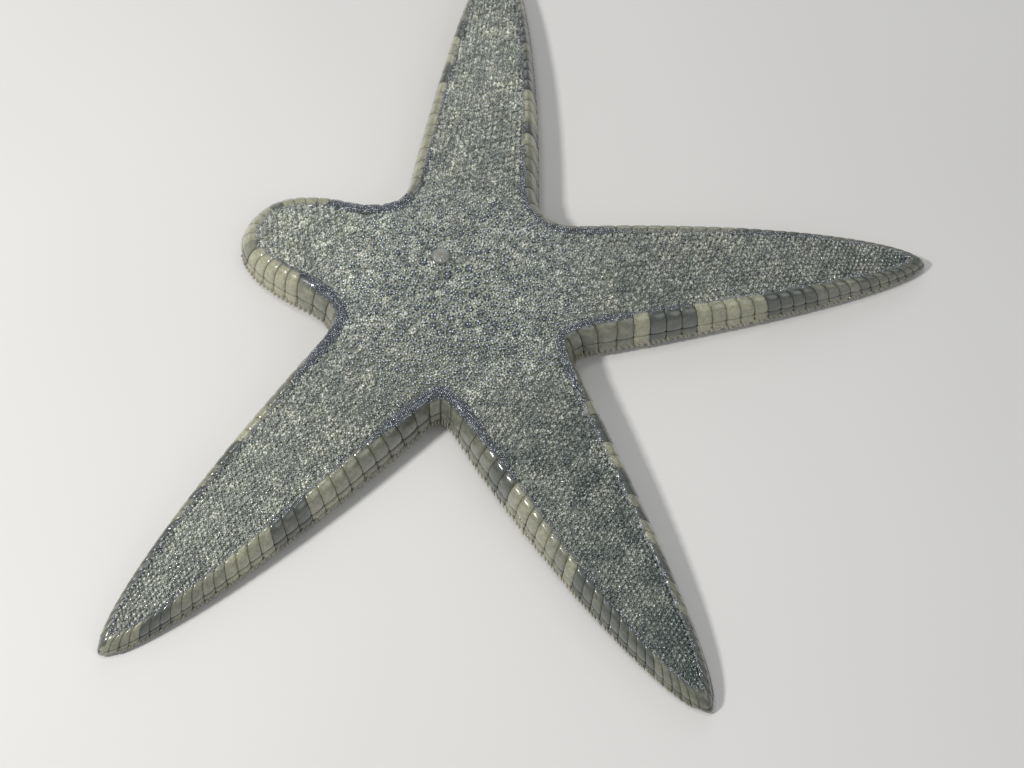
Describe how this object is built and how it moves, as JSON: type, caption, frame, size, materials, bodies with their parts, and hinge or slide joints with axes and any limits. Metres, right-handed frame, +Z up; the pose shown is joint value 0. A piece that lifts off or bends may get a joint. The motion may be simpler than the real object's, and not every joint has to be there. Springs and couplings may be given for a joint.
{
  "type": "common sand star",
  "caption": "Flat sand star lying on its underside, with long tapering arms edged by banded plates, a grainy grey-green top, and one short healed arm.",
  "frame": {"origin": "middle of the footprint, on the level that the underside rests on", "axes": "+Z up, away from the underside; +Y toward the back arm's side; +X toward the right arm's side"},
  "size_m": [0.0914, 0.103, 0.007],
  "materials": {
    "skin": "wet, olive grey, between the small columns of the top",
    "paxillae": "wet, grainy, grey-green with pale tips",
    "edge_plates": "satin, pale olive cream with dark grey bands",
    "spines": "satin, cream",
    "madreporite": "smooth grey with fine winding grooves",
    "mouth": "soft, pale cream",
    "tube_feet": "soft, wet, pale cream"
  },
  "bodies": {
    "root": {"disc": "skin", "arm_back": "skin", "arm_right": "skin", "arm_front_right": "skin", "arm_front_left": "skin", "arm_short": "skin", "madreporite": "madreporite", "mouth": "mouth"}
  },
  "joints": []
}
